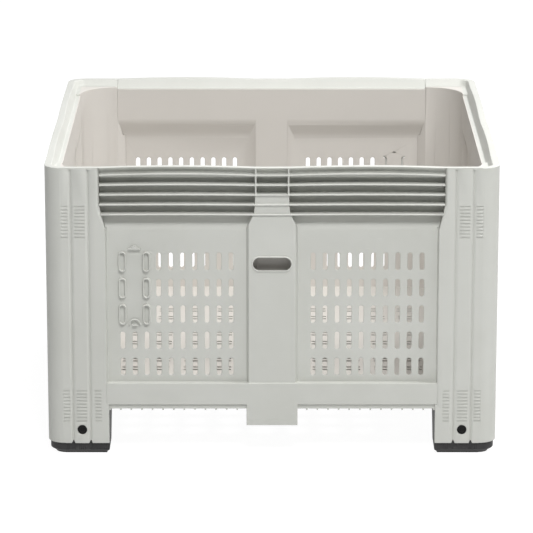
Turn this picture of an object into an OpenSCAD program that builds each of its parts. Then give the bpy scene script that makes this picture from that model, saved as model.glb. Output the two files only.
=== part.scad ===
// Vented bulk fruit bin: four louvred and slotted walls between four hollow corner posts,
// a ribbed floor deck, and four replaceable black feet, each held by two pegs.
// Origin: on the ground under the middle of the bin. +Z is up and the front faces -Y.

/* [Bin] */
// Outside width and depth of the square bin
bin_w = 1162; // [1100:1:1240]
// Height from the ground to the rim at the corners
bin_h = 762; // [745:1:840]
// Thickness of the moulded skins
skin = 5; // [4:0.5:6]
// Depth of a wall from its outer face to its inner face
wall_d = 40; // [38:1:46]
// Play between pieces that slide into each other
fit = 0.3; // [0.2:0.05:0.5]

/* [Rim] */
// Width of the lip along its top
lip_w = 18; // [15:1:20]
// Width of the lip at its foot, on the ledge
lip_foot_w = 28; // [24:1:31]
// Height of the lip above the ledge inside it
lip_h = 23; // [20:1:26]
// Height of the corner pads above the ledge
pad_rise = 6; // [3:1:9]
// Thickness of the rim's outer edge
rim_edge = 1.5; // [1:0.5:3]
// Depth of the throat under the rim
throat_d = 14; // [12:1:16]
// Height of the slope under the rim's edge
throat_h = 9; // [6:1:9]
// How far the rim arches up in the middle of each bay
rim_arch = 4; // [2:0.5:6]
// Straight stretch of the rim at each end of a bay
arch_end = 3; // [2:0.5:6]

/* [Louvres] */
// Number of fins under the rim
fin_count = 5; // [4:1:6]
// Distance from one fin to the next
fin_pitch = 25.7; // [24:0.1:27]
// Thickness of a fin
fin_t = 4.4; // [3.6:0.2:5]
// Drop from the rim to the middle of the top fin
fin_drop = 20.1; // [18:0.1:22]

/* [Corner posts] */
// Width of a post's face beside the louvres
post_w = 140; // [136:1:146]
// Width of a post's face beside the panels
post_low_w = 154; // [152:1:158]
// How far a post widens beside the lowest louvre
post_flare = 4; // [2:0.5:6]
// Width of the bevel along a post's edge beside the louvres
edge_bevel_w = 6; // [4:0.5:8]
// Depth of that bevel
edge_bevel_d = 4; // [2:0.5:6]
// Width of a leg
leg_w = 160; // [158:1:166]
// Radius of the outer corners
corner_r = 45; // [40:1:50]
// Distance of the first groove from the corner
groove_first = 67; // [66:1:69]
// Distance between the two grooves
groove_gap = 45; // [43:1:47]
// Width of a groove
groove_w = 10; // [8:0.5:11]
// Depth of a groove
groove_d = 4.5; // [3:0.5:5]
// Drop from the rim to the top of the grooves
groove_drop = 5; // [4:0.5:7]
// Height of the notch at the foot of each groove
notch_h = 9; // [6:0.5:12]
// Height of the skirt's lower edge above the ground
skirt_z = 31; // [28:1:36]

/* [Grip blocks] */
// Number of bars in a grip block
bar_count = 9; // [6:1:10]
// Distance from one bar to the next
bar_pitch = 9; // [8:0.5:10]
// Height of the cut between two bars
bar_cut_h = 4.2; // [3:0.2:5]
// Depth of the cut between two bars
bar_cut_d = 1.6; // [1:0.2:2]
// Drop from the rim to the middle of the upper blocks
block_drop = 142; // [135:1:155]
// Height of the middle of the lower blocks
block_low_z = 131; // [128:1:145]
// Space between a block and the groove beside it
block_gap = 4.5; // [3:0.5:6]

/* [Panels] */
// Depth of the panels behind the posts' faces
panel_d = 20; // [17:1:22]
// Draft of the panels' sides over that depth
panel_draft = 4; // [3:0.5:6]
// Height of the shoulder between the louvres and the panel
shoulder_h = 40; // [36:1:50]
// Radius of the shoulder's edges
shoulder_r = 60; // [40:1:80]
// Run of the slopes round the panels, seen from inside
inner_run = 22; // [18:1:24]
// Height of the rail under the panels
rail_h = 57; // [50:1:60]

/* [Slots] */
// Length of a vent slot
slot_l = 46; // [40:1:50]
// Width of a vent slot
slot_w = 12; // [9:0.5:14]
// Distance from one column of slots to the next
column_pitch = 31; // [28:0.5:34]
// Distance from one row of slots to the next
row_pitch = 70; // [66:1:74]
// From the centre post to the first column
column_start = 39.3; // [34:0.1:44]
// From the rail to the middle of the lowest row
row_start = 40; // [36:1:50]
// Least space between the last column and the post
column_end = 30; // [26:1:32]
// Least space between the middle of the top row and the shoulder
row_end = 70; // [60:1:80]

/* [Centre posts] */
// Width of a centre post between the panels
centre_w = 132; // [124:1:140]
// Width of its neck between the louvres
neck_w = 88; // [80:1:94]
// How far each side of the neck widens beside the lowest louvre
neck_flare = 2.5; // [1:0.5:4]
// Depth of its face behind the posts' faces
centre_d = 4; // [2.5:0.5:6]
// Draft of its sides
centre_draft = 6; // [2:0.5:8]
// Length of the hand slot
hand_l = 98; // [84:1:102]
// Height of the hand slot
hand_h = 34; // [26:1:40]
// Height of the hand slot's middle above the ground
hand_z = 509; // [480:1:530]
// Width of the raised lip round the hand slot
hand_lip = 3; // [2:0.5:5]
// How far that lip stands out from the centre post
hand_rise = 2.5; // [1:0.5:2.5]
// Height of the centre foot above the ground
centre_foot_z = 79; // [70:1:85]
// Depth of the centre foot under the floor
centre_foot_d = 80; // [60:1:100]

/* [Card holder] */
// Width of the bars, rings and arch of the card holder
ring_w = 4; // [3:0.5:5]
// How far the rings stand out from the panel
ring_h = 7; // [6:0.5:9]
// Thickness of the card gap under the rings
card_gap = 2.5; // [2:0.25:3]
// Width of the stop over the card
stop_w = 31; // [26:1:36]
// Height of the stop over the card
stop_h = 5; // [4:0.5:7]
// Radius of the tab on the stop
tab_r = 7; // [5:0.5:9]
// Outer radius of the arch under the card
arch_r = 16; // [14:0.5:18]

/* [Floor] */
// Height of the fork entries under the floor
fork_h = 119; // [110:1:125]
// Height of the floor's ribs
floor_rib_h = 26; // [24:1:30]
// Thickness of the floor plate
floor_t = 5; // [4:0.5:7]
// Rise from the ribs' lower edge to the rail's lower edge
rail_rise = 16; // [12:1:18]
// Rise from the ribs' lower edge to the lower edge of the deck's border
border_rise = 4; // [3:0.5:6]
// Distance from the middle to the first rib tooth
tooth_start = 90; // [84:1:94]
// Distance from one rib tooth to the next
tooth_pitch = 27.4; // [26:0.1:28]
// Length of the short teeth behind the rails
tooth_l = 60; // [40:1:80]
// Number of teeth to each full rib
teeth_per_rib = 3; // [2:1:4]
// Thickness of ribs and teeth
rib_t = 4.4; // [3.6:0.2:5]

/* [Feet and pegs] */
// Thickness of a foot's walls
foot_wall = 6; // [5:0.5:8]
// Thickness of a foot's bottom
foot_floor = 16; // [15:1:20]
// Thickness of the flat tread under a foot
tread_h = 3; // [2:0.5:4]
// Height of the bevel round the sole
sole_bevel_h = 9; // [6:0.5:10]
// Run of the bevel on a foot's outer sides
sole_bevel_out = 14; // [10:1:16]
// Run of the bevel on a foot's inner sides
sole_bevel_in = 7; // [5:1:10]
// Radius of a foot's inner corner at the sole
foot_low_r = 55; // [40:1:65]
// Radius of a foot's inner corner higher up
foot_high_r = 12; // [8:1:20]
// Height at which that corner has its smaller radius
foot_round_z = 74; // [60:1:90]
// Distance from one upright flute of a foot to the next
flute_pitch = 5; // [4:0.5:8]
// Width of a flute
flute_w = 2; // [1:0.25:3]
// Depth of a flute
flute_d = 1; // [0.5:0.25:1.5]
// Height of the pegs above the ground
peg_z = 67; // [64:1:72]
// Distance of a peg from the corner's outer face
peg_a = 90; // [88:1:92]
// Diameter of a peg's head
peg_head = 24.4; // [22:0.2:26]
// Diameter of a peg's shank
peg_shank = 14; // [12:0.5:16]
// Length of a peg's shank in the foot
peg_l = 25; // [20:1:30]
// How far a peg's head lies under the skirt's face
peg_sink = 1; // [0.5:0.25:1.5]
// Diameter of the recess in a peg's head
peg_recess = 13; // [10:0.5:14]
// Depth of the recess in a peg's head
peg_recess_d = 2.2; // [1:0.2:2.4]
// Thickness of the wall of a peg's socket
socket_wall = 6; // [5:0.5:8]

/* [Hidden] */
$fn = 48;
over = 1;
shell_colour = "#c4c5be";
foot_colour = "#33322f";
peg_colour = "#1c1c1a";

WALLS = ["front_wall", "right_wall", "rear_wall", "left_wall"];
CORNERS = ["front_left", "front_right", "rear_right", "rear_left"];
POSTS = [for (c = CORNERS) str(c, "_post")];
FEET = [for (c = CORNERS) str(c, "_foot")];
PEGS = [for (c = CORNERS, n = ["peg_1", "peg_2"]) str(c, "_", n)];

half_w = bin_w / 2;
bond = skin / 2;
louvre_x = half_w - post_w;
neck_x = neck_w / 2;
centre_x = centre_w / 2;

// Levels from the rim down
ledge_z = bin_h - lip_h;
pad_z = ledge_z + pad_rise;
rim_under_z = bin_h - rim_edge;
last_fin = fin_count - 1;
neck_fin = floor(last_fin / 2);
function fin_z(i) = bin_h - fin_drop - i * fin_pitch;
shoulder_z = fin_z(last_fin) + fin_t / 2;
panel_top_z = shoulder_z - shoulder_h;
slant_top_z = fin_z(last_fin - 1) - fin_t / 2;
neck_top_z = fin_z(neck_fin) + fin_t / 2;

// Levels from the ground up
floor_z = fork_h + floor_rib_h + floor_t;
rail_z = fork_h + rail_rise;
rail_top_z = rail_z + rail_h;
foot_top_z = fork_h - fit;

// Inner corner: a round skin that ends where the walls begin
inner_r = post_w - wall_d;
// How wide the lip is at a given height
function lip_at(z) = lip_w + (lip_foot_w - lip_w) * (bin_h - z) / lip_h;

// Louvre bays and the arch of the rim and the fins over each of them
arch_from = neck_x + arch_end;
arch_to = louvre_x - arch_end;
arch_steps = 16;
function arch_line(rise) = [for (i = [0 : arch_steps])
    let (share = i / arch_steps)
    [arch_from + (arch_to - arch_from) * share, rise * (1 - pow(2 * share - 1, 2))]];
function moved(points, by) = [for (p = points) p + by];
function turned_back(points) = [for (i = [len(points) - 1 : -1 : 0]) points[i]];
function mirrored(points) = [for (p = turned_back(points)) [-p[0], p[1]]];
function fin_arch(i) = rim_arch / (i + 1);
crest_z = bin_h + rim_arch;
throat_turn = atan(throat_h / throat_d);
throat_l = norm([throat_d, throat_h]);

// Slot pattern: columns count outwards from the centre post, rows upwards
column_first = centre_x + column_start;
panel_flat_x = half_w - post_low_w - panel_draft;
column_last = floor((panel_flat_x - column_end - column_first) / column_pitch);
function column_x(i) = column_first + i * column_pitch;
row_first_z = rail_top_z + row_start;
row_last = floor((panel_top_z - row_end - row_first_z) / row_pitch);
function row_z(j) = row_first_z + j * row_pitch;
card_columns = [column_last - 2, column_last - 1, column_last];
card_rows = [row_last - 2, row_last - 1, row_last];

// Floor ribs and the teeth between them
tooth_last = floor((half_w - leg_w - tooth_start) / tooth_pitch);
function tooth_x(i) = tooth_start + i * tooth_pitch;
rib_steps = floor(tooth_last / teeth_per_rib);
rib_places = concat([0], [for (i = [0 : rib_steps]) tooth_x(i * teeth_per_rib)]);
rib_mids = [for (i = [1 : rib_steps + 1]) (rib_places[i - 1] + rib_places[i]) / 2];

// Placing: a wall's own frame has X along the wall, Y inwards from its outer face
module on_side(k) rotate([0, 0, 90 * k]) translate([0, -half_w, 0]) children();
module at_corner(k) rotate([0, 0, 90 * k]) translate([-half_w, -half_w, 0]) children();
module both_arms() {
    children();
    mirror([1, -1, 0]) children();
}
module both_halves() {
    children();
    mirror([1, 0, 0]) children();
}
module along_x(length) rotate([90, 0, 90]) linear_extrude(length, center = true) children();
module inwards(from, to) translate([0, to, 0]) rotate([90, 0, 0]) linear_extrude(to - from) children();
module raised(from, to) translate([0, 0, from]) linear_extrude(to - from) children();

module stadium(length, width) {
    square([length - width, width], center = true);
    for (s = [-1, 1]) translate([s * (length - width) / 2, 0]) circle(width / 2);
}
module quarter_disc(r) intersection() {
    circle(r);
    square(r + over);
}

// Corner post outlines, seen from above with the outer corner at the origin

// Square corner piece with a round outer corner, set in from both outer faces
module corner_square(inset, reach) {
    translate([corner_r, corner_r]) rotate(180) quarter_disc(corner_r - inset);
    translate([corner_r, inset]) square([reach - corner_r, reach - inset]);
    translate([inset, corner_r]) square([corner_r - inset, reach - corner_r]);
}
// The round inner skin's face, moved out by a thickness
module inner_round(thickness) {
    translate([post_w, post_w]) rotate(180) quarter_disc(inner_r + thickness);
}
// Beside the louvres
module post_top_outline() difference() {
    corner_square(0, post_w);
    inner_round(0);
}
// Beside the panels, with the return to the panel and the slope inside
module post_low_outline() {
    reach = post_w + inner_run + over;
    difference() {
        corner_square(0, reach);
        inner_round(0);
        both_arms() polygon([
            [post_w, wall_d],
            [post_w + inner_run, panel_d + skin],
            [post_low_w + panel_draft, panel_d],
            [post_low_w, 0],
            [post_low_w, -over],
            [reach + over, -over],
            [reach + over, reach + over],
            [post_w, post_w]]);
    }
}
// Ridge behind a groove, on the inner face of a skin
module groove_ridges(inset, play) {
    for (g = [groove_first, groove_first + groove_gap]) polygon([
        [g - groove_w - play, inset - over],
        [g - groove_w - play, inset],
        [g, inset + groove_d + play],
        [g + groove_w + play, inset],
        [g + groove_w + play, inset - over]]);
}
// Webs across the hollow: one behind the second groove of each face, and one through the corner
module post_webs() {
    both_arms() translate([groove_first + groove_gap - rib_t / 2, bond]) square([rib_t, post_w]);
    rotate(45) translate([corner_r - bond, -rib_t / 2]) square([post_w, rib_t]);
}
module post_top_hollow() difference() {
    corner_square(skin, post_w - skin);
    inner_round(skin);
    both_arms() groove_ridges(skin, 0);
    post_webs();
}
module post_low_hollow() {
    reach = post_low_w + panel_draft;
    difference() {
        corner_square(skin, reach);
        inner_round(skin);
        both_arms() polygon([
            [post_w - bond, wall_d - skin],
            [reach - skin, panel_d + skin],
            [post_low_w - skin, skin],
            [post_low_w - skin, -over],
            [reach + over, -over],
            [reach + over, reach + over],
            [post_w, post_w]]);
        both_arms() groove_ridges(skin, 0);
        post_webs();
    }
}
module skirt_outline() {
    difference() {
        corner_square(0, leg_w);
        corner_square(skin, leg_w + over);
    }
    both_arms() intersection() {
        groove_ridges(skin, 0);
        translate([0, bond]) square([leg_w, wall_d]);
    }
}

// The space a post fills, without its hollow: walls and floor are cut to it
module post_space() {
    difference() {
        raised(rail_z, slant_top_z) post_low_outline();
        both_arms() inwards(-over, wall_d + over) polygon([
            [post_w, slant_top_z],
            [post_w + post_flare, shoulder_z],
            [post_low_w, panel_top_z],
            [post_w + inner_run + over, panel_top_z],
            [post_w + inner_run + over, slant_top_z + over],
            [post_w, slant_top_z + over]]);
    }
    raised(slant_top_z, pad_z) post_top_outline();
}

// Lip of the rim round the corner, standing on the pad
module corner_lip() {
    foot_w = lip_at(pad_z);
    both_arms() translate([(corner_r + post_w) / 2, 0, 0]) along_x(post_w - corner_r)
        polygon([[0, pad_z], [0, bin_h], [lip_w, bin_h], [foot_w, pad_z]]);
    translate([corner_r, corner_r, 0]) rotate([0, 0, 180]) rotate_extrude(angle = 90) polygon([
        [corner_r, pad_z],
        [corner_r, bin_h],
        [corner_r - lip_w, bin_h],
        [corner_r - foot_w, pad_z]]);
}

// Bevel along the edge beside the louvres, which runs out at the foot of the flare
module bevel_plan(x, bevel_w, bevel_d) polygon([
    [x - bevel_w, -over],
    [x - bevel_w, 0],
    [x, bevel_d],
    [x + over, bevel_d],
    [x + over, -over]]);
module bevel_slice(x, z, bevel_w, bevel_d) raised(z - fit / 2, z + fit / 2) bevel_plan(x, bevel_w, bevel_d);
module edge_bevel() {
    raised(slant_top_z, rim_under_z) bevel_plan(post_w, edge_bevel_w, edge_bevel_d);
    hull() {
        bevel_slice(post_w, slant_top_z, edge_bevel_w, edge_bevel_d);
        bevel_slice(post_w + post_flare, shoulder_z, edge_bevel_w, edge_bevel_d);
    }
    hull() {
        bevel_slice(post_w + post_flare, shoulder_z, edge_bevel_w, edge_bevel_d);
        bevel_slice(post_low_w, panel_top_z, fit, fit);
    }
}

// Cuts between the bars of one grip block, on the face along X
module grip_block(from, to, mid_z) {
    for (i = [0 : bar_count]) {
        z = mid_z + (i - bar_count / 2) * bar_pitch;
        translate([from, z - bar_cut_h / 2]) square([to - from, bar_cut_h]);
    }
}
module grip_cuts() {
    band = groove_w / 2 + block_gap;
    second = groove_first + groove_gap;
    first_band = [corner_r - bond, groove_first - groove_w / 2 - bond];
    second_band = [groove_first + band, second - band];
    third_band = [second + band + bond, post_w];
    upper_z = bin_h - block_drop;
    inwards(-over, bar_cut_d) {
        grip_block(first_band[0], first_band[1], upper_z);
        grip_block(second_band[0], second_band[1], upper_z);
        grip_block(first_band[0], first_band[1], block_low_z);
        grip_block(second_band[0], second_band[1], block_low_z);
        grip_block(third_band[0], third_band[1], block_low_z);
    }
}

module corner_post() color(shell_colour) difference() {
    union() {
        post_space();
        corner_lip();
        raised(skirt_z, rail_z) skirt_outline();
        raised(fork_h, rail_z) intersection() {
            post_low_outline();
            post_webs();
        }
    }
    raised(rail_z - over, panel_top_z - skin) post_low_hollow();
    raised(panel_top_z - skin - over, pad_z - skin) post_top_hollow();
    both_arms() {
        for (g = [groove_first, groove_first + groove_gap]) {
            raised(skirt_z - over, bin_h - groove_drop) polygon([
                [g - groove_w / 2, 0],
                [g - groove_w / 2, -over],
                [g + groove_w / 2, -over],
                [g + groove_w / 2, 0],
                [g, groove_d]]);
            inwards(-over, skin + groove_d + over) polygon([
                [g - groove_w / 2, skirt_z - over],
                [g + groove_w / 2, skirt_z - over],
                [g, skirt_z + notch_h]]);
        }
        grip_cuts();
        edge_bevel();
        translate([peg_a, -over, peg_z]) rotate([-90, 0, 0])
            cylinder(d = peg_head + 2 * fit, h = skin + 2 * over);
    }
}

// Wall, in its own frame

// Round edges of the shoulder: its foot outside, then its foot and its top inside
shoulder_turn = atan((wall_d - skin - panel_d) / shoulder_h);
shoulder_steps = 6;
shoulder_tangent = shoulder_r * tan(shoulder_turn / 2);
function shoulder_arc(centre, from, to) = [for (i = [0 : shoulder_steps])
    let (t = from + (to - from) * i / shoulder_steps)
    centre + shoulder_r * [cos(t), sin(t)]];
foot_centre = [panel_d + shoulder_r, panel_top_z - shoulder_tangent];
outer_foot = shoulder_arc(foot_centre, 180, 180 - shoulder_turn);
inner_foot = shoulder_arc(foot_centre + [skin, 0], 180 - shoulder_turn, 180);
inner_top = shoulder_arc([wall_d - shoulder_r, shoulder_z + shoulder_tangent], 0, -shoulder_turn);

// Section through rim, louvre back, shoulder, panel, ledge and rail
module wall_section() polygon(concat(
    [[0, crest_z],
     [lip_at(crest_z), crest_z],
     [lip_foot_w, ledge_z],
     [wall_d, ledge_z]],
    inner_top,
    inner_foot,
    [[panel_d + skin, floor_z],
     [panel_d, floor_z],
     [panel_d, rail_top_z - skin],
     [skin, rail_top_z - skin],
     [skin, rail_z],
     [0, rail_z],
     [0, rail_top_z],
     [panel_d, rail_top_z]],
    outer_foot,
    [[wall_d - skin, shoulder_z],
     [wall_d - skin, ledge_z - skin],
     [throat_d, ledge_z - skin],
     [throat_d, rim_under_z - throat_h],
     [0, rim_under_z]]));

// Arches over both bays, seen from the front, on the line through their ends
module bay_arches(rise) both_halves()
    polygon(concat([[arch_from, -over]], arch_line(rise), [[arch_to, -over]]));
// What lies above the arched rim, and the arched slope under it
module over_rim() translate([0, 0, bin_h]) inwards(-over, wall_d) difference() {
    translate([-half_w, 0]) square([bin_w, rim_arch + over]);
    bay_arches(rim_arch);
}
module throat_arches() translate([0, 0, rim_under_z]) rotate([-throat_turn, 0, 0])
    inwards(-rim_arch, throat_l) bay_arches(rim_arch * cos(throat_turn));

// Fin seen from the front, straight across the neck and arched over the bays
module fin_front(rise) {
    half_line = concat(arch_line(rise), [[louvre_x, 0]]);
    line = concat(mirrored(half_line), half_line);
    polygon(concat(moved(line, [0, fin_t / 2]), turned_back(moved(line, [0, -fin_t / 2]))));
}
module fins() for (i = [0 : last_fin]) {
    reach = fin_z(i) + fin_t / 2 > ledge_z - skin ? throat_d + bond : wall_d - bond;
    translate([0, 0, fin_z(i)]) inwards(0, reach) fin_front(fin_arch(i));
}

// Upright ribs beside the open pockets of the neck
module neck_ribs() both_halves() translate([neck_x - fin_t / 2, 0, 0]) along_x(fin_t) polygon([
    [0, fin_z(neck_fin)],
    [wall_d - bond, fin_z(neck_fin)],
    [wall_d - bond, ledge_z - bond],
    [throat_d + bond, ledge_z - bond],
    [throat_d + bond, rim_under_z],
    [0, rim_under_z]]);

// Centre post, set in by a thickness for its hollow
module centre_front(thickness) polygon([
    [thickness - centre_x, floor_z - thickness],
    [centre_x - thickness, floor_z - thickness],
    [centre_x - thickness, panel_top_z],
    [neck_x + neck_flare - thickness, shoulder_z],
    [neck_x - thickness, slant_top_z],
    [neck_x - thickness, neck_top_z - thickness],
    [thickness - neck_x, neck_top_z - thickness],
    [thickness - neck_x, slant_top_z],
    [thickness - neck_x - neck_flare, shoulder_z],
    [thickness - centre_x, panel_top_z]]);
module centre_plan(thickness) {
    face_x = centre_x - centre_draft - thickness;
    side_x = centre_x - thickness;
    inner_x = neck_x - thickness;
    polygon([
        [-face_x, centre_d + thickness],
        [face_x, centre_d + thickness],
        [side_x, panel_d],
        [side_x, panel_d + skin - thickness],
        [inner_x, wall_d - thickness],
        [-inner_x, wall_d - thickness],
        [-side_x, panel_d + skin - thickness],
        [-side_x, panel_d]]);
}
module centre_post(thickness) intersection() {
    raised(floor_z - thickness - over, neck_top_z + over) centre_plan(thickness);
    inwards(0, wall_d + over) centre_front(thickness);
}

// Short box under the middle of the rail
module centre_foot() {
    translate([-centre_x, 0, fork_h - bond]) cube([centre_w, skin, rail_rise + 2 * bond]);
    difference() {
        translate([-centre_x, 0, centre_foot_z]) cube([centre_w, centre_foot_d, fork_h - centre_foot_z]);
        translate([skin - centre_x, skin, centre_foot_z - over])
            cube([centre_w - 2 * skin, centre_foot_d - 2 * skin, fork_h - centre_foot_z - skin + over]);
    }
}

module hand_lip_ring() inwards(centre_d - hand_rise, centre_d + bond) translate([0, hand_z])
    stadium(hand_l + 2 * hand_lip, hand_h + 2 * hand_lip);
module hand_slot() inwards(-over, centre_d + skin + over) translate([0, hand_z]) stadium(hand_l, hand_h);

// Vent slots of one half; a card holder takes the place of its columns and rows
function has(list, value) = len([for (v = list) if (v == value) v]) > 0;
module slots(card) inwards(panel_d - over, panel_d + skin + over)
    for (i = [0 : column_last], j = [0 : row_last])
        if (!(card && has(card_columns, i) && has(card_rows, j)))
            translate([column_x(i), row_z(j)]) rotate(90) stadium(slot_l, slot_w);

// Card holder on the half to the left: two columns of rings, a stop above and an arch below
card_left = -column_x(card_columns[2]);
card_right = -column_x(card_columns[0]);
card_mid = -column_x(card_columns[1]);
card_low_z = row_z(card_rows[0]) - slot_l / 2 - ring_w;
card_high_z = row_z(card_rows[2]) + slot_l / 2 + ring_w;
module card_ring() rotate(90) difference() {
    stadium(slot_l + 2 * ring_w, slot_w + 2 * ring_w);
    stadium(slot_l, slot_w);
}
module card_rings() for (x = [card_left, card_right], j = card_rows) translate([x, row_z(j)]) card_ring();
module half_disc(r) intersection() {
    circle(r);
    translate([-r, 0]) square([2 * r, r]);
}
module card_holder() inwards(panel_d - ring_h, panel_d + bond) {
    card_rings();
    translate([card_mid - stop_w / 2, card_high_z + ring_w]) square([stop_w, stop_h]);
    translate([card_mid, card_high_z + ring_w + stop_h]) half_disc(tab_r);
    translate([card_mid, card_low_z]) difference() {
        half_disc(arch_r);
        half_disc(arch_r - ring_w);
    }
    translate([card_mid - tab_r, card_low_z - ring_w]) square([2 * tab_r, ring_w]);
}
// Gap for the card behind the rings' inner halves, and the openings in the panel behind them
module card_space() {
    translate([card_left, panel_d - card_gap, card_low_z + ring_w])
        cube([card_right - card_left, card_gap, card_high_z - card_low_z]);
    inwards(panel_d - card_gap, panel_d + skin + over) {
        intersection() {
            card_rings();
            translate([card_left, card_low_z]) square([card_right - card_left, card_high_z - card_low_z]);
        }
        translate([card_mid, card_high_z + ring_w + stop_h]) half_disc(tab_r - ring_w / 2);
    }
}

module wall(card) color(shell_colour) difference() {
    union() {
        along_x(2 * louvre_x) wall_section();
        fins();
        neck_ribs();
        centre_post(0);
        centre_foot();
        hand_lip_ring();
        if (card) card_holder();
    }
    centre_post(skin);
    hand_slot();
    slots(false);
    mirror([1, 0, 0]) slots(card);
    if (card) card_space();
    over_rim();
    throat_arches();
    both_halves() translate([-half_w, 0, 0]) post_space();
}

// Floor deck, in the bin's own frame

module deck_outline() difference() {
    square(bin_w - 2 * skin, center = true);
    for (k = [0 : 3]) at_corner(k) {
        post_low_outline();
        square(corner_r);
    }
}
module deck_ribs() intersection() {
    deck_outline();
    for (k = [0 : 3]) rotate(90 * k) {
        for (x = rib_places) translate([x - rib_t / 2, -half_w]) square([rib_t, bin_w]);
        for (i = [0 : tooth_last], s = [-1, 1])
            translate([s * tooth_x(i) - rib_t / 2, -half_w]) square([rib_t, tooth_l]);
        translate([-half_w + post_w, -half_w + post_w]) rotate(180) difference() {
            quarter_disc(inner_r + over);
            circle(inner_r - skin);
        }
    }
}
module deck_border() intersection() {
    deck_outline();
    for (k = [0 : 3]) rotate(90 * k) translate([-half_w, -half_w]) square([bin_w, 2 * skin]);
}
// Two slots in each square between the full ribs
module deck_slots() for (x = rib_mids, y = rib_mids, s = [-1, 1], t = [-1, 1], u = [-1, 1])
    translate([s * x, t * y + u * slot_w]) stadium(slot_l, slot_w);
module floor_deck() color(shell_colour) {
    raised(fork_h + floor_rib_h, floor_z) difference() {
        deck_outline();
        deck_slots();
    }
    raised(fork_h, fork_h + floor_rib_h) deck_ribs();
    raised(fork_h + border_rise, fork_h + floor_rib_h) deck_border();
}

// Foot and pegs, in the corner's frame

foot_inset = skin + fit;
sole_top_z = tread_h + sole_bevel_h;
cup_inset = foot_inset + groove_d + foot_wall;
// Outline with a round inner corner
module foot_plan(inset, reach, r) difference() {
    corner_square(inset, reach);
    translate([reach - r, reach - r]) difference() {
        square(r + over);
        circle(r);
    }
}
module sole_plan() foot_plan(foot_inset + sole_bevel_out, leg_w - sole_bevel_in, foot_low_r);
module foot_block() {
    raised(0, tread_h) sole_plan();
    hull() {
        raised(tread_h, tread_h + fit) sole_plan();
        raised(sole_top_z - fit, sole_top_z) foot_plan(foot_inset, leg_w, foot_low_r);
    }
    hull() {
        raised(sole_top_z - fit, sole_top_z) foot_plan(foot_inset, leg_w, foot_low_r);
        raised(foot_round_z, foot_round_z + fit) foot_plan(foot_inset, leg_w, foot_high_r);
    }
    raised(foot_round_z, foot_top_z) foot_plan(foot_inset, leg_w, foot_high_r);
}
// Flutes on the outer faces, up to the skirt
flute_count = floor((leg_w - corner_r) / flute_pitch) - 1;
module flutes() for (i = [1 : flute_count])
    translate([corner_r + i * flute_pitch, foot_inset - over]) square([flute_w, flute_d + over]);
module peg_hole(d, depth) translate([peg_a, 0, peg_z]) rotate([-90, 0, 0]) cylinder(d = d, h = depth);

module foot() color(foot_colour) difference() {
    union() {
        difference() {
            foot_block();
            raised(foot_floor, foot_top_z + over) difference() {
                foot_plan(cup_inset, leg_w - foot_wall, foot_low_r);
                post_webs();
            }
        }
        both_arms() translate([0, foot_inset + bond, 0])
            peg_hole(peg_shank + 2 * (fit + socket_wall), peg_l + socket_wall);
    }
    raised(sole_top_z, foot_top_z + over) both_arms() groove_ridges(foot_inset, fit);
    raised(sole_top_z, skirt_z) both_arms() flutes();
    both_arms() translate([0, -over, 0]) peg_hole(peg_shank + fit, foot_inset + peg_l + fit + over);
}

module peg() color(peg_colour) translate([peg_a, peg_sink, peg_z]) rotate([-90, 0, 0]) difference() {
    union() {
        cylinder(d = peg_head, h = skin - peg_sink);
        cylinder(d = peg_shank, h = foot_inset + peg_l - peg_sink);
    }
    translate([0, 0, -over]) cylinder(d = peg_recess, h = peg_recess_d + over);
}

floor_deck();
for (k = [0 : 3]) {
    on_side(k) wall(k % 2 == 0);
    at_corner(k) corner_post();
    at_corner(k) foot();
    at_corner(k) peg();
    at_corner(k) mirror([1, -1, 0]) peg();
}
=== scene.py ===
import math

import bmesh
import bpy
from mathutils import Matrix, Vector, kdtree


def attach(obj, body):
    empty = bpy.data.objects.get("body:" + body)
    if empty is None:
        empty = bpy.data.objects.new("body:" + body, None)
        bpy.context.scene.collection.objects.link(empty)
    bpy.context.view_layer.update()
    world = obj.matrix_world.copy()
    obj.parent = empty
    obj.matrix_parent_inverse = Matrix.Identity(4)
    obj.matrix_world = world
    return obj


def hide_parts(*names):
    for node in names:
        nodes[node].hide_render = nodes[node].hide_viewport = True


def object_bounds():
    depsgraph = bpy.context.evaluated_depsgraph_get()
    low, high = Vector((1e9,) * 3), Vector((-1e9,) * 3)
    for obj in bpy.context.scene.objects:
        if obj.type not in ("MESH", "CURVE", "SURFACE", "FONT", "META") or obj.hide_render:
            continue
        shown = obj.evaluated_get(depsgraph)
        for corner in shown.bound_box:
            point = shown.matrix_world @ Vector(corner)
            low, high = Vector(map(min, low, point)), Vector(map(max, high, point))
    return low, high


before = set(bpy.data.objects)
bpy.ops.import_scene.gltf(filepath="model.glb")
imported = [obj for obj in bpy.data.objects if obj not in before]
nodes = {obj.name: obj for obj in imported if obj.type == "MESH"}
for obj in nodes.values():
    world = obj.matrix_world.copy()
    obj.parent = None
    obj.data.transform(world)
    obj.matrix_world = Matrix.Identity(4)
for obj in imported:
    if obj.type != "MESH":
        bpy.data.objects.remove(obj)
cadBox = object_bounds()
scene = bpy.context.scene
corners = ("front_left", "front_right", "rear_right", "rear_left")
print("frame loaded:", len(nodes), "nodes")


# Shader sums as Python expressions
def feed(tree, socket, value):
    if isinstance(value, Wire):
        tree.links.new(value.socket, socket)
    else:
        socket.default_value = value


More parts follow.
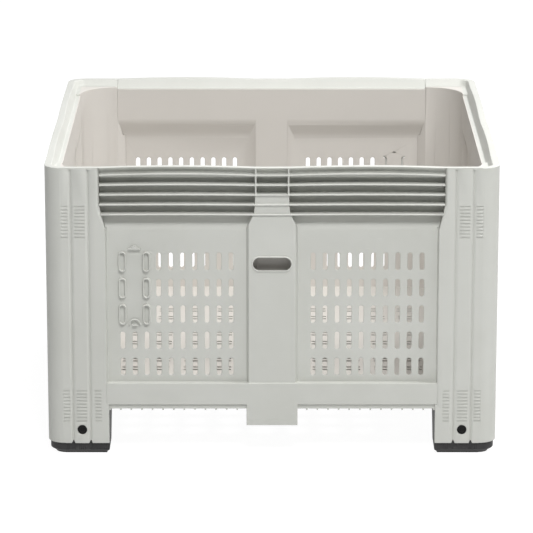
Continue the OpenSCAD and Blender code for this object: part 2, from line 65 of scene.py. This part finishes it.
class Wire:
    def __init__(self, tree, socket):
        self.tree = tree
        self.socket = socket

    def work(self, operation, first, second):
        node = self.tree.nodes.new("ShaderNodeMath")
        node.operation = operation
        feed(self.tree, node.inputs[0], first)
        feed(self.tree, node.inputs[1], second)
        return Wire(self.tree, node.outputs[0])

    def __add__(self, other):
        return self.work("ADD", self, other)

    def __radd__(self, other):
        return self.work("ADD", other, self)

    def __sub__(self, other):
        return self.work("SUBTRACT", self, other)

    def __rsub__(self, other):
        return self.work("SUBTRACT", other, self)

    def __mul__(self, other):
        return self.work("MULTIPLY", self, other)

    def __rmul__(self, other):
        return self.work("MULTIPLY", other, self)

    def __abs__(self):
        return self.work("ABSOLUTE", self, 0)


class NodeBoard:
    def __init__(self, tree):
        self.tree = tree
        tree.nodes.clear()

    # Type, settings, then socket values or links; out picks the output that comes back
    def node(self, kind, settings=None, sockets=None, out=0):
        made = self.tree.nodes.new(kind)
        for name, value in (settings or {}).items():
            setattr(made, name, value)
        for name, value in (sockets or {}).items():
            feed(self.tree, made.inputs[name], value)
        return Wire(self.tree, made.outputs[out]) if made.outputs else None

    def place(self):
        return self.node("ShaderNodeTexCoord", None, None, "Object")

    # One axis of a place: "X", "Y" or "Z"
    def along(self, axis, where):
        return self.node("ShaderNodeSeparateXYZ", None, {"Vector": where}, axis)

    def greater(self, first, second):
        return self.node("ShaderNodeMath", {"operation": "MAXIMUM"}, {0: first, 1: second})

    # A pattern's own values: scale and detail, with roughness and stretch where they matter
    def noise(self, where, pattern):
        if "stretch" in pattern:
            where = self.node("ShaderNodeMapping", None, {"Vector": where, "Scale": pattern["stretch"]})
        return self.node("ShaderNodeTexNoise", None, {
            "Vector": where,
            "Scale": pattern["scale"],
            "Detail": pattern["detail"],
            "Roughness": pattern.get("roughness", 0.5)})

    # 0 below low, 1 above high
    def step(self, value, low, high):
        return self.node("ShaderNodeMapRange", {"interpolation_type": "SMOOTHSTEP"}, {
            "Value": value, "From Min": low, "From Max": high})

    # Two colours in the share given, 0 for the first and 1 for the second
    def blend(self, share, first, second):
        return self.node("ShaderNodeMix", {"data_type": "RGBA"}, {0: share, 6: first, 7: second}, 2)

    def bump(self, height, distance, strength=1.0, under=None):
        sockets = {"Height": height, "Distance": distance, "Strength": strength}
        if under:
            sockets["Normal"] = under
        return self.node("ShaderNodeBump", None, sockets)

    def surface(self, shader):
        self.node("ShaderNodeOutputMaterial", None, {"Surface": shader})


def newFinish(name):
    material = bpy.data.materials.new(name)
    material.use_nodes = True
    return material, NodeBoard(material.node_tree)


def opaque(rgb):
    return (*rgb, 1)


# Pale polyethylene of the bin: faint clouding, mould flow, fine pebble, a few rub marks, and a painted warm
# glow on the inner faces that stands for light shining through the walls and bouncing inside.
# The inside begins in the middle of the skin: panelDepth behind the outer faces, rimDepth above the shoulder.
shellFinish = {
    "colour": (0.570, 0.576, 0.540),
    "cloudColour": (0.540, 0.546, 0.508),
    "rubColour": (0.620, 0.622, 0.590),
    # Painted glow: warmer, lighter colour for light coming through the walls and bounced inside
    "insideGlowColour": (0.615, 0.580, 0.545),
    "insideGlowShare": 0.75,
    "insideFloor": 0.149,
    "insideSoft": 0.0010,
    "panelDepth": 0.0225,
    "rimDepth": 0.0375,
    "shoulderFoot": 0.600,
    "shoulderTop": 0.642,
    "cloud": {"scale": 4.0, "detail": 4.0, "roughness": 0.6},
    "cloudRange": (0.35, 0.70),
    "cloudMiddle": 0.5,
    "flow": {"scale": 9.0, "detail": 1.0, "stretch": (1.0, 1.0, 0.35)},
    "flowDepth": 0.0009,
    "pebble": {"scale": 850.0, "detail": 2.0},
    "pebbleDepth": 0.00012,
    "pebbleStrength": 0.6,
    "rub": {"scale": 26.0, "detail": 5.0, "roughness": 0.65, "stretch": (1.0, 1.0, 5.0)},
    "rubRange": (0.62, 0.76),
    "rubShare": 0.5,
    "roughness": 0.46,
    "cloudRoughness": 0.10,
    "rubRoughness": 0.10,
    "ior": 1.5,
}


def makeShellPlastic():
    d = shellFinish
    material, board = newFinish("shellPlastic")
    where = board.place()
    cloud = board.noise(where, d["cloud"])
    flow = board.noise(where, d["flow"])
    pebble = board.noise(where, d["pebble"])
    rub = board.step(board.noise(where, d["rub"]), *d["rubRange"])
    colour = board.blend(board.step(cloud, *d["cloudRange"]), opaque(d["colour"]), opaque(d["cloudColour"]))
    colour = board.blend(rub * d["rubShare"], colour, opaque(d["rubColour"]))
    x, y, z = (board.along(axis, where) for axis in "XYZ")
    # Painted glow: inner faces above the deck are tinted warmer and lighter for light that passes through the
    # walls and bounces inside
    reach = board.greater(abs(x), abs(y))
    panelHalf = cadBox[1].x - d["panelDepth"]
    narrowing = (d["rimDepth"] - d["panelDepth"]) * board.step(z, d["shoulderFoot"], d["shoulderTop"])
    insideGlow = board.step(panelHalf - narrowing - reach, -d["insideSoft"], d["insideSoft"])
    insideGlow = insideGlow * board.step(z, d["insideFloor"] - d["insideSoft"], d["insideFloor"])
    colour = board.blend(insideGlow * d["insideGlowShare"], colour, opaque(d["insideGlowColour"]))
    roughness = d["roughness"] + d["cloudRoughness"] * (cloud - d["cloudMiddle"]) + d["rubRoughness"] * rub
    wavy = board.bump(flow, d["flowDepth"])
    normal = board.bump(pebble, d["pebbleDepth"], d["pebbleStrength"], wavy)
    board.surface(board.node("ShaderNodeBsdfPrincipled", None, {
        "Base Color": colour, "Roughness": roughness, "Normal": normal, "IOR": d["ior"]}))
    return material


# Black moulded foot: grey where dust sits and where the sole has scraped
footFinish = {
    "colour": (0.016, 0.016, 0.016),
    "dustColour": (0.078, 0.076, 0.073),
    "dust": {"scale": 22.0, "detail": 5.0, "roughness": 0.65},
    "dustRange": (0.45, 0.80),
    "dustShare": 0.55,
    "scrape": {"scale": 60.0, "detail": 4.0, "roughness": 0.6, "stretch": (1.0, 1.0, 3.0)},
    "scrapeRange": (0.50, 0.72),
    "scrapeShare": 0.45,
    "scrapeTop": 0.032,
    "grain": {"scale": 700.0, "detail": 2.0},
    "grainDepth": 0.0002,
    "grainStrength": 0.7,
    "roughness": 0.58,
    "wornRoughness": 0.2,
    "ior": 1.5,
}


def makeFootPlastic():
    d = footFinish
    material, board = newFinish("footPlastic")
    where = board.place()
    dust = board.step(board.noise(where, d["dust"]), *d["dustRange"])
    scrape = board.step(board.noise(where, d["scrape"]), *d["scrapeRange"])
    low = 1 - board.step(board.along("Z", where), 0.0, d["scrapeTop"])
    worn = dust * d["dustShare"] + low * scrape * d["scrapeShare"]
    colour = board.blend(worn, opaque(d["colour"]), opaque(d["dustColour"]))
    roughness = d["roughness"] + d["wornRoughness"] * worn
    normal = board.bump(board.noise(where, d["grain"]), d["grainDepth"], d["grainStrength"])
    board.surface(board.node("ShaderNodeBsdfPrincipled", None, {
        "Base Color": colour, "Roughness": roughness, "Normal": normal, "IOR": d["ior"]}))
    return material


# Smooth black peg with a little dust
pegFinish = {
    "colour": (0.006, 0.006, 0.006),
    "dustColour": (0.020, 0.019, 0.018),
    "dust": {"scale": 90.0, "detail": 4.0, "roughness": 0.6},
    "dustRange": (0.45, 0.80),
    "dustShare": 0.6,
    "roughness": 0.40,
    "dustRoughness": 0.25,
    "ior": 1.25,
}


def makePegPlastic():
    d = pegFinish
    material, board = newFinish("pegPlastic")
    dust = board.step(board.noise(board.place(), d["dust"]), *d["dustRange"])
    colour = board.blend(dust * d["dustShare"], opaque(d["colour"]), opaque(d["dustColour"]))
    roughness = d["roughness"] + d["dustRoughness"] * dust
    board.surface(board.node("ShaderNodeBsdfPrincipled", None, {
        "Base Color": colour, "Roughness": roughness, "IOR": d["ior"]}))
    return material


finishes = {"shell": makeShellPlastic(), "foot": makeFootPlastic(), "peg": makePegPlastic()}
print("finishes made:", ", ".join(finishes))


# Rounded edges: the bevel is tried on a merged copy, and edges beside faces that it turns over stay sharp.
# Angles in radians, gaps in metres; a face is turned over where the cosine of its turn is under leastCosine.
rounding = {
    "sharpAngle": math.radians(28),
    "smoothAngle": math.radians(35),
    "segments": 2,
    "roundProfile": 0.5,
    "roomInRadii": 2.4,
    "reachInRadii": 2.6,
    "samplesInRoom": 2,
    "besideShare": 0.6,
    "leastCosine": 0.95,
    "leastArea": 1e-11,
    "mergeGap": 2e-6,
    "sameGap": 1e-9,
    "keyDigits": 6,
    "tries": 6,
}


def edgeKey(edge):
    return tuple(sorted(tuple(round(x, rounding["keyDigits"]) for x in vert.co) for vert in edge.verts))


def treeOf(places):
    tree = kdtree.KDTree(len(places))
    for index, place in enumerate(places):
        tree.insert(place, index)
    tree.balance()
    return tree


# Edges with no other sharp edge close beside them, tried at the middles of equal steps along each
def withRoom(edges, need):
    d = rounding
    samples = []
    for index, edge in enumerate(edges):
        first, last = (vert.co for vert in edge.verts)
        count = max(1, int(d["samplesInRoom"] * edge.calc_length() / need))
        samples += [(first.lerp(last, (i + 0.5) / count), index) for i in range(count)]
    tree = treeOf([place for place, index in samples])
    lines = [(edge.verts[1].co - edge.verts[0].co).normalized() for edge in edges]
    crowded = set()
    for place, index in samples:
        if index in crowded:
            continue
        for found, sample, gap in tree.find_range(place, need):
            other = samples[sample][1]
            touching = set(edges[index].verts) & set(edges[other].verts)
            if other == index or touching or gap < d["sameGap"]:
                continue
            if abs((found - place).dot(lines[index])) < d["besideShare"] * gap:
                crowded.add(index)
                break
    return [edge for index, edge in enumerate(edges) if index not in crowded]


# The layer "before" holds each first face's normal, and zero on the faces that a bevel adds
def roundOver(source, radii, keptSharp):
    d = rounding
    bm = bmesh.new()
    bm.from_mesh(source)
    bmesh.ops.remove_doubles(bm, verts=bm.verts, dist=d["mergeGap"])
    bmesh.ops.dissolve_degenerate(bm, edges=bm.edges, dist=d["mergeGap"])
    before = bm.faces.layers.float_vector.new("before")
    for face in bm.faces:
        face[before] = face.normal
    firstEdges = [edge for edge in bm.edges if edge.calc_face_angle(0) > d["sharpAngle"]]
    keys = [edgeKey(edge) for edge in firstEdges for vert in edge.verts]
    tree = treeOf([vert.co for edge in firstEdges for vert in edge.verts])
    again = set()
    for radius in radii:
        sharp = [edge for edge in bm.edges
                 if edge.calc_face_angle(0) > d["sharpAngle"]
                 and all(any(face[before]) for face in edge.link_faces)
                 and edgeKey(edge) not in keptSharp]
        made = bmesh.ops.bevel(
            bm, geom=withRoom(sharp, radius * d["roomInRadii"]), offset=radius, offset_type="OFFSET",
            affect="EDGES", segments=d["segments"], profile=d["roundProfile"], material=-1, loop_slide=False)
        for face in made["faces"]:
            face[before] = (0, 0, 0)
        bm.normal_update()
        for face in bm.faces:
            if not any(face[before]) or face.calc_area() <= d["leastArea"]:
                continue
            if face.normal.dot(face[before]) < d["leastCosine"]:
                for vert in face.verts:
                    near = tree.find_range(vert.co, radius * d["reachInRadii"])
                    again |= {keys[index] for place, index, gap in near}
    bm.faces.layers.float_vector.remove(before)
    return bm, again - keptSharp


def roundedMesh(node, radii):
    keptSharp = set()
    for attempt in range(rounding["tries"]):
        bm, again = roundOver(nodes[node].data, radii, keptSharp)
        if not again:
            break
        keptSharp |= again
    print(node, "rounded:", len(bm.faces), "faces,", len(keptSharp), "edges kept sharp")
    return bm


# A moulding in its place: quarter turns about the middle of the bin
def placePiece(name, shape, quarterTurns, finish, node):
    mesh = bpy.data.meshes.new(name)
    shape.to_mesh(mesh)
    mesh.transform(Matrix.Rotation(quarterTurns * math.pi / 2, 4, "Z"))
    mesh.shade_smooth()
    mesh.set_sharp_from_angle(angle=rounding["smoothAngle"])
    mesh.materials.clear()
    mesh.materials.append(finishes[finish])
    piece = bpy.data.objects.new(name, mesh)
    scene.collection.objects.link(piece)
    piece.modifiers.new("normals", "WEIGHTED_NORMAL").keep_sharp = True
    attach(piece, "root")
    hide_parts(node)


# The front and rear walls carry a card holder, the side walls none
wallEdges = {"radii": (0.0016, 0.0006)}
cardWall = roundedMesh("front_wall", wallEdges["radii"])
plainWall = roundedMesh("right_wall", wallEdges["radii"])
placePiece("front_wall_moulding", cardWall, 0, "shell", "front_wall")
placePiece("rear_wall_moulding", cardWall, 2, "shell", "rear_wall")
placePiece("right_wall_moulding", plainWall, 0, "shell", "right_wall")
placePiece("left_wall_moulding", plainWall, 2, "shell", "left_wall")

# Each corner is the front left one, turned
cornerEdges = {"post": (0.0020, 0.0007), "foot": (0.0016, 0.0005), "peg": (0.0008,)}
post = roundedMesh("front_left_post", cornerEdges["post"])
foot = roundedMesh("front_left_foot", cornerEdges["foot"])
pegs = [roundedMesh(f"front_left_peg_{number}", cornerEdges["peg"]) for number in (1, 2)]
for turns, corner in enumerate(corners):
    placePiece(f"{corner}_post_moulding", post, turns, "shell", f"{corner}_post")
    placePiece(f"{corner}_foot_moulding", foot, turns, "foot", f"{corner}_foot")
    for number, shape in enumerate(pegs, 1):
        placePiece(f"{corner}_peg_{number}_moulding", shape, turns, "peg", f"{corner}_peg_{number}")

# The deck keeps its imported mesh
nodes["floor_deck"].data.materials.clear()
nodes["floor_deck"].data.materials.append(finishes["shell"])
print("mouldings made")


# Camera at the photograph's height and distance
lens = {
    "place": (-0.01427, -8.8926, 2.6500),
    "pitch": math.radians(75.521),
    "focal": 226.75,
    "sensor": 36.0,
    "clipEnd": 100.0,
}
cameraData = bpy.data.cameras.new("camera")
cameraData.lens = lens["focal"]
cameraData.sensor_width = lens["sensor"]
cameraData.clip_end = lens["clipEnd"]
camera = bpy.data.objects.new("camera", cameraData)
camera.location = lens["place"]
camera.rotation_euler = (lens["pitch"], 0.0, 0.0)
scene.collection.objects.link(camera)
scene.camera = camera
print("camera set")


# Square softboxes round the bin, turned from the front towards the right and raised, in degrees
softboxes = {
    "key": {"azimuth": 72.0, "elevation": 63.0, "power": 172.0},
    "fill": {"azimuth": 6.0, "elevation": 48.0, "power": 136.0},
    "back": {"azimuth": 145.0, "elevation": 32.0, "power": 75.0},
}
studio = {
    "lampDistance": 5.0,
    "lampSide": 1.2,
    "ambient": 0.25,
    "white": (1.0, 1.0, 1.0),
    "floorHalf": 60.0,
    "floorAlbedo": 0.72,
    "floorGlow": 0.96,
    "floorShade": 0.15,
}


def placeSoftbox(name, d):
    turn = math.radians(d["azimuth"])
    rise = math.radians(d["elevation"])
    level = math.cos(rise)
    outwards = Vector((math.sin(turn) * level, -math.cos(turn) * level, math.sin(rise)))
    lamp = bpy.data.lights.new(name, "AREA")
    lamp.shape = "SQUARE"
    lamp.size = studio["lampSide"]
    lamp.energy = d["power"]
    box = bpy.data.objects.new(name, lamp)
    box.location = (cadBox[0] + cadBox[1]) / 2 + outwards * studio["lampDistance"]
    box.rotation_euler = outwards.to_track_quat("Z", "Y").to_euler()
    box.visible_camera = False
    scene.collection.objects.link(box)


for name, box in softboxes.items():
    placeSoftbox(name, box)


# 1 for rays that show the surroundings, 0 for rays that light the bin
def seenDirectly(board):
    rays = [board.node("ShaderNodeLightPath", None, None, f"Is {kind} Ray")
            for kind in ("Camera", "Glossy", "Transmission")]
    return board.node("ShaderNodeClamp", None, {"Value": rays[0] + rays[1] + rays[2]})


# White surroundings that give the plain ambient light
world = bpy.data.worlds.new("studioAir")
world.use_nodes = True
scene.world = world
air = NodeBoard(world.node_tree)
strength = studio["ambient"] + (1 - studio["ambient"]) * seenDirectly(air)
glow = air.node("ShaderNodeBackground", None, {"Color": opaque(studio["white"]), "Strength": strength})
air.node("ShaderNodeOutputWorld", None, {"Surface": glow})

# Pale floor: it looks white but for the bin's shadow, and throws light up like a plain floor
floorMaterial, ground = newFinish("paleFloor")
plain = ground.node("ShaderNodeBsdfDiffuse", None, {"Color": opaque((studio["floorAlbedo"],) * 3)})
shade = ground.node("ShaderNodeBsdfDiffuse", None, {"Color": opaque((studio["floorShade"],) * 3)})
shine = ground.node("ShaderNodeEmission", None, {
    "Color": opaque(studio["white"]), "Strength": studio["floorGlow"]})
white = ground.node("ShaderNodeAddShader", None, {0: shade, 1: shine})
ground.surface(ground.node("ShaderNodeMixShader", None, {0: seenDirectly(ground), 1: plain, 2: white}))
bm = bmesh.new()
bmesh.ops.create_grid(bm, x_segments=1, y_segments=1, size=studio["floorHalf"])
floorMesh = bpy.data.meshes.new("floor")
bm.to_mesh(floorMesh)
bm.free()
floorMesh.materials.append(floorMaterial)
floor = bpy.data.objects.new("floor", floorMesh)
scene.collection.objects.link(floor)
scene.view_settings.view_transform = "Standard"
print("studio lit")
